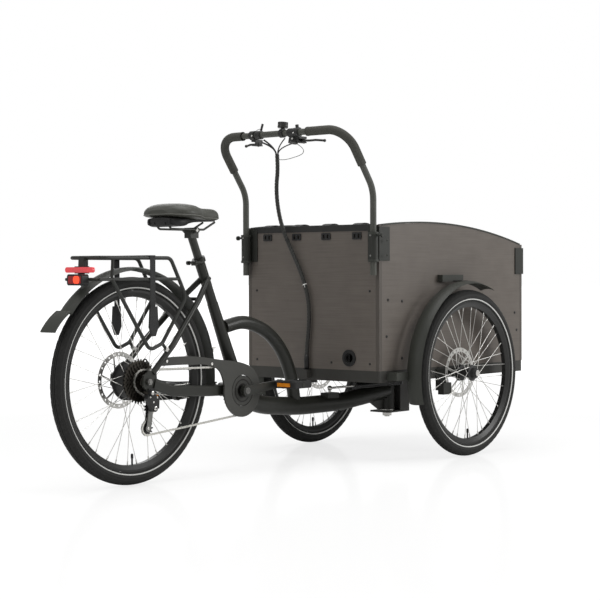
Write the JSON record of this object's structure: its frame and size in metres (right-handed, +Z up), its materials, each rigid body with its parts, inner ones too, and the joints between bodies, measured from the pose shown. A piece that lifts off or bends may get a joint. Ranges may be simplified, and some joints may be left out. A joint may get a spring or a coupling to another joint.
{
  "type": "cargo tricycle",
  "caption": "Cargo tricycle: rear frame with hub motor, rack and saddle, pinned under a steered open box on two spoked front wheels with an arched push-bar.",
  "frame": {"origin": "on the ground, in the middle of the whole tricycle's length and width", "axes": "+X forwards, +Y to the rider's left, +Z up"},
  "size_m": [2.1463, 0.82, 1.1876],
  "materials": {
    "frame_black": "satin black powder coat",
    "tyre": "black tread with light sidewall stripe",
    "rim_black": "satin black anodised",
    "spoke_steel": "bright stainless",
    "hub_black": "black shell with a steel disc",
    "sprocket_black": "black oxide steel",
    "chain_steel": "oiled steel",
    "steel_bright": "zinc plated",
    "plastic_black": "matte black moulding",
    "guard_grey": "dark grey moulding",
    "reflector_red": "clear red",
    "saddle_vinyl": "dark grey vinyl",
    "panel_brown": "dark grey-brown coated board",
    "cushion_black": "black padded cover",
    "foam_grip": "dark foam",
    "strap": "elastic webbing",
    "cable": "spiral-wrapped cable",
    "floor_board": "coated board",
    "battery_case": "black case",
    "damper_black": "gloss black",
    "pedal_black": "black with amber reflectors"
  },
  "bodies": {
    "rear_frame": {"main_frame": "frame_black", "rear_rack": "frame_black", "rear_fender": "plastic_black", "rear_reflectors": "reflector_red", "rear_lamp": "plastic_black", "chain_guard": "guard_grey", "rear_axle": "steel_bright", "rear_caliper": "frame_black", "seat_clamp": "frame_black", "rack_straps": "strap", "chain": "chain_steel", "derailleur_body": "plastic_black"},
    "rear_wheel": {"rear_tyre": "tyre", "rear_rim": "rim_black", "rear_spokes": "spoke_steel", "hub_motor": "hub_black"},
    "freewheel": {"rear_sprockets": "sprocket_black"},
    "derailleur_arm": {"derailleur_cage": "plastic_black"},
    "guide_pulley": {"jockey_upper": "plastic_black"},
    "tension_pulley": {"jockey_lower": "plastic_black"},
    "crankset": {"crank_arms": "frame_black", "chainring": "sprocket_black"},
    "left_pedal": {"pedal_left": "pedal_black"},
    "right_pedal": {"pedal_right": "pedal_black"},
    "seat": {"seat_post": "frame_black", "saddle": "saddle_vinyl"},
    "seat_quick_release": {"seat_lever": "frame_black"},
    "carriage": {"base_frame": "frame_black", "kingpin": "steel_bright", "box_floor": "floor_board", "side_panel_left": "panel_brown", "side_panel_right": "panel_brown", "front_panel": "panel_brown", "rear_panel": "panel_brown", "edge_trim": "plastic_black", "corner_brackets": "plastic_black", "rear_panel_fittings": "plastic_black", "bench": "floor_board", "seat_cushion": "cushion_black", "backrest_pad": "cushion_black", "battery": "battery_case", "front_fenders": "plastic_black", "front_calipers": "frame_black", "cable_bundle": "cable"},
    "left_wheel": {"front_tyre_left": "tyre", "front_rim_left": "rim_black", "front_spokes_left": "spoke_steel", "front_hub_left": "hub_black"},
    "right_wheel": {"front_tyre_right": "tyre", "front_rim_right": "rim_black", "front_spokes_right": "spoke_steel", "front_hub_right": "hub_black"},
    "bar": {"handlebar": "frame_black", "grips": "foam_grip", "bar_controls": "plastic_black", "control_cables": "cable"},
    "left_brake_lever": {"brake_lever_left": "frame_black"},
    "right_brake_lever": {"brake_lever_right": "frame_black"},
    "damper_piston": {"damper_rod": "steel_bright"},
    "damper_tube": {"damper_cylinder": "damper_black"}
  },
  "joints": [
    {"name": "rear_wheel_spin", "type": "hinge", "parent": "rear_frame", "child": "rear_wheel", "pos_m": [-0.731, 0, 0.3265], "axis": [0, 1, 0], "continuous": true},
    {"name": "freewheel_spin", "type": "hinge", "parent": "rear_frame", "child": "freewheel", "pos_m": [-0.731, -0.05, 0.3265], "axis": [0, 1, 0], "continuous": true},
    {"name": "derailleur_swing", "type": "hinge", "parent": "rear_frame", "child": "derailleur_arm", "pos_m": [-0.703, -0.05, 0.243], "axis": [0, 1, 0], "range_deg": [-12, 20], "stiffness_Nm_per_rad": 0.6},
    {"name": "guide_pulley_spin", "type": "hinge", "parent": "derailleur_arm", "child": "guide_pulley", "pos_m": [-0.703, -0.05, 0.243], "axis": [0, 1, 0], "continuous": true},
    {"name": "tension_pulley_spin", "type": "hinge", "parent": "derailleur_arm", "child": "tension_pulley", "pos_m": [-0.713, -0.05, 0.179], "axis": [0, 1, 0], "continuous": true},
    {"name": "crank_spin", "type": "hinge", "parent": "rear_frame", "child": "crankset", "pos_m": [-0.284, 0, 0.273], "axis": [0, 1, 0], "continuous": true, "deforming": ["chain"]},
    {"name": "left_pedal_spin", "type": "hinge", "parent": "crankset", "child": "left_pedal", "pos_m": [-0.45335, 0.14, 0.25818], "axis": [0, 1, 0], "continuous": true},
    {"name": "right_pedal_spin", "type": "hinge", "parent": "crankset", "child": "right_pedal", "pos_m": [-0.11465, -0.14, 0.28782], "axis": [0, 1, 0], "continuous": true},
    {"name": "seat_height", "type": "slide", "parent": "rear_frame", "child": "seat", "axis": [-0.4043, 0, 0.9146], "range_m": [-0.05, 0.1]},
    {"name": "seat_lever_swing", "type": "hinge", "parent": "rear_frame", "child": "seat_quick_release", "pos_m": [-0.448, -0.033, 0.6975], "axis": [0, 0, 1], "range_deg": [0, 100]},
    {"name": "steering", "type": "hinge", "parent": "rear_frame", "child": "carriage", "pos_m": [0.589, 0, 0.2], "axis": [0, 0, 1], "range_deg": [-28, 28]},
    {"name": "left_wheel_spin", "type": "hinge", "parent": "carriage", "child": "left_wheel", "pos_m": [0.589, 0.366, 0.3005], "axis": [0, 1, 0], "continuous": true},
    {"name": "right_wheel_spin", "type": "hinge", "parent": "carriage", "child": "right_wheel", "pos_m": [0.589, -0.366, 0.3005], "axis": [0, 1, 0], "continuous": true},
    {"name": "bar_height", "type": "slide", "parent": "carriage", "child": "bar", "axis": [0, 0, 1], "range_m": [-0.02, 0.06], "deforming": ["cable_bundle"]},
    {"name": "left_brake_squeeze", "type": "hinge", "parent": "bar", "child": "left_brake_lever", "pos_m": [0.01, 0.128, 1.121], "axis": [0, 0, 1], "range_deg": [0, 18], "stiffness_Nm_per_rad": 2, "springref_deg": -5.73},
    {"name": "right_brake_squeeze", "type": "hinge", "parent": "bar", "child": "right_brake_lever", "pos_m": [0.01, -0.084, 1.121], "axis": [0, 0, -1], "range_deg": [0, 18], "stiffness_Nm_per_rad": 2, "springref_deg": -5.73},
    {"name": "damper_swing", "type": "hinge", "parent": "rear_frame", "child": "damper_piston", "pos_m": [0.224, -0.02, 0.25], "axis": [0, 0, 1], "range_deg": [-10, 10]},
    {"name": "damper_slide", "type": "slide", "parent": "damper_piston", "child": "damper_tube", "axis": [0.9815, -0.1898, 0.0237], "range_m": [-0.06, 0.06]}
  ],
  "couplings": [
    {"joint": "freewheel_spin", "follows": "crank_spin", "ratio": 2.2222},
    {"joint": "tension_pulley_spin", "follows": "crank_spin", "ratio": 3.6364},
    {"joint": "guide_pulley_spin", "follows": "crank_spin", "ratio": -3.6364},
    {"joint": "damper_swing", "follows": "steering", "ratio": -0.05566},
    {"joint": "damper_slide", "follows": "steering", "m_per_rad": 0.08638}
  ]
}
